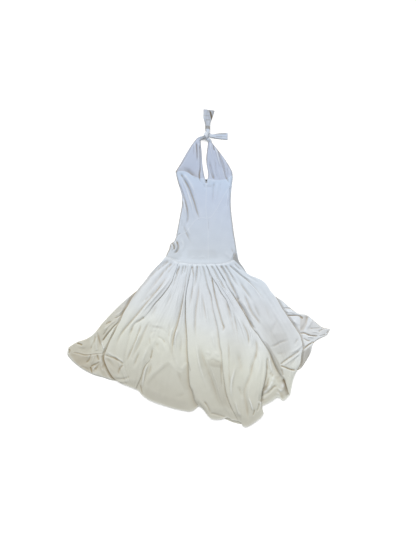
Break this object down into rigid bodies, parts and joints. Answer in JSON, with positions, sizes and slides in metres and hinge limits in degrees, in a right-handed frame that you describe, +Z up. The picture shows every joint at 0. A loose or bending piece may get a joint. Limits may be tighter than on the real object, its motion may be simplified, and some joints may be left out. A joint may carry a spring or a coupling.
{
  "type": "halter dress",
  "caption": "Long white halter dress laid flat, with gathered cups tied at the neck, a seamed bodice and a full gathered skirt.",
  "frame": {"origin": "on the resting surface, under the middle of the dress's bounding box", "axes": "+X to the right of the dress as its front is looked at, +Y towards the halter's ties, +Z up from the surface it lies on"},
  "size_m": [1.3383, 1.7753, 0.0256],
  "materials": {
    "cloth": "matt, thin plain-woven or crepe cloth, white",
    "label": "plain woven tape, black"
  },
  "bodies": {
    "root": {"back": "cloth", "front_lower_left": "cloth", "front_lower_right": "cloth", "front_upper_left": "cloth", "front_upper_right": "cloth", "gore_left": "cloth", "gore_right": "cloth", "label": "label", "skirt_back": "cloth", "skirt_front": "cloth", "tie_left": "cloth", "tie_right": "cloth"}
  },
  "joints": []
}
